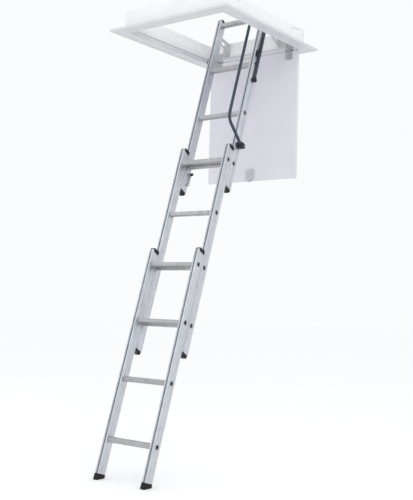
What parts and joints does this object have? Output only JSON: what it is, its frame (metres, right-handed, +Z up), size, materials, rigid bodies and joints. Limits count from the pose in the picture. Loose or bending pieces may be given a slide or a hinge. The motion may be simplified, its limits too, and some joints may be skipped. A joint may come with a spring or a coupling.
{
  "type": "attic ladder",
  "caption": "Sliding three-section aluminium attic ladder hung on swing arms in a boxed ceiling hatch, with a drop-down door and a handrail.",
  "frame": {"origin": "centre of the hatch opening, level with the ceiling (the upper face of the architrave)", "axes": "+X to the climber's right, +Y the way the climber faces, towards the door's hinges, +Z up"},
  "size_m": [0.756, 1.1118, 2.4774],
  "materials": {
    "white_board": "smooth white paint, satin",
    "seal_foam": "closed-cell foam strip, matt",
    "zinc_steel": "bright zinc plate",
    "bracket_steel": "light grey powder coat, fine texture",
    "white_plastic": "moulded, soft gloss",
    "navy_steel": "dark navy powder coat, semi-gloss",
    "stile_aluminium": "mill-finish extrusion with fine lengthwise drawing lines",
    "rung_aluminium": "ribbed extrusion, duller and darker than the stiles",
    "black_plastic": "moulded nylon, fine grain",
    "foot_rubber": "moulded rubber, matt"
  },
  "bodies": {
    "hatch_frame": {"lining_near": "white_board", "lining_far": "white_board", "lining_left": "white_board", "lining_right": "white_board", "architrave_near": "white_board", "architrave_far": "white_board", "architrave_left": "white_board", "architrave_right": "white_board", "draught_seal": "seal_foam", "frame_screws": "zinc_steel", "pivot_bracket_left": "bracket_steel", "pivot_bracket_right": "bracket_steel", "arm_pins": "zinc_steel", "frame_hinge_leaves": "zinc_steel", "latch_strike": "zinc_steel"},
    "door": {"door_panel": "white_board", "door_hinge_leaves": "zinc_steel", "latch_housing": "white_plastic", "latch_spring": "zinc_steel"},
    "latch": {"latch_bolt": "zinc_steel"},
    "right_arm": {"swing_arm_right": "navy_steel"},
    "left_arm": {"swing_arm_left": "navy_steel"},
    "top_section": {"top_stile_left": "stile_aluminium", "top_stile_right": "stile_aluminium", "top_rung_1": "rung_aluminium", "top_rung_2": "rung_aluminium", "top_rung_3": "rung_aluminium", "top_rung_4": "rung_aluminium", "top_end_caps": "black_plastic", "top_guide_shoes": "black_plastic", "top_slide_stops": "zinc_steel", "arm_bosses": "black_plastic", "arm_stops": "black_plastic", "handrail": "navy_steel", "handrail_brackets": "black_plastic", "handrail_bolts": "zinc_steel", "catch_pins": "black_plastic"},
    "left_catch": {"catch_left": "zinc_steel"},
    "right_catch": {"catch_right": "zinc_steel"},
    "middle_section": {"middle_stile_left": "stile_aluminium", "middle_stile_right": "stile_aluminium", "middle_rung_1": "rung_aluminium", "middle_rung_2": "rung_aluminium", "middle_rung_3": "rung_aluminium", "middle_rung_4": "rung_aluminium", "middle_head_shoes": "black_plastic", "middle_tail_shoes": "black_plastic", "middle_slide_stops": "zinc_steel"},
    "bottom_section": {"bottom_stile_left": "stile_aluminium", "bottom_stile_right": "stile_aluminium", "bottom_rung_1": "rung_aluminium", "bottom_rung_2": "rung_aluminium", "bottom_rung_3": "rung_aluminium", "bottom_rung_4": "rung_aluminium", "bottom_head_shoes": "black_plastic", "foot_left": "foot_rubber", "foot_right": "foot_rubber"}
  },
  "joints": [
    {"name": "door_hinge", "type": "hinge", "parent": "hatch_frame", "child": "door", "pos_m": [0, 0.3665, -0.004], "axis": [-1, 0, 0], "range_deg": [0, 24]},
    {"name": "latch_slide", "type": "slide", "parent": "door", "child": "latch", "axis": [0, 0, 1], "range_m": [0, 0.008], "stiffness_N_per_m": 350, "springref_m": -0.004, "deforming": ["latch_spring"]},
    {"name": "right_arm_swing", "type": "hinge", "parent": "hatch_frame", "child": "right_arm", "pos_m": [0, 0.2325, 0.109], "axis": [-1, 0, 0], "range_deg": [0, 150]},
    {"name": "left_arm_swing", "type": "hinge", "parent": "hatch_frame", "child": "left_arm", "pos_m": [0, 0.2325, 0.109], "axis": [-1, 0, 0], "range_deg": [0, 150]},
    {"name": "ladder_pivot", "type": "hinge", "parent": "right_arm", "child": "top_section", "pos_m": [0, 0.12856, -0.21472], "axis": [-1, 0, 0], "range_deg": [-150, 0]},
    {"name": "middle_slide", "type": "slide", "parent": "top_section", "child": "middle_section", "axis": [0, 0.3057, 0.9521], "range_m": [0, 0.87]},
    {"name": "bottom_slide", "type": "slide", "parent": "middle_section", "child": "bottom_section", "axis": [0, 0.3057, 0.9521], "range_m": [0, 0.56]},
    {"name": "left_catch_swing", "type": "hinge", "parent": "top_section", "child": "left_catch", "pos_m": [0, -0.0273, -0.73288], "axis": [-1, 0, 0], "range_deg": [0, 70]},
    {"name": "right_catch_swing", "type": "hinge", "parent": "top_section", "child": "right_catch", "pos_m": [0, -0.0273, -0.73288], "axis": [-1, 0, 0], "range_deg": [0, 70]}
  ],
  "couplings": [
    {"joint": "left_arm_swing", "follows": "right_arm_swing", "ratio": 1},
    {"joint": "ladder_pivot", "follows": "right_arm_swing", "ratio": -1}
  ]
}
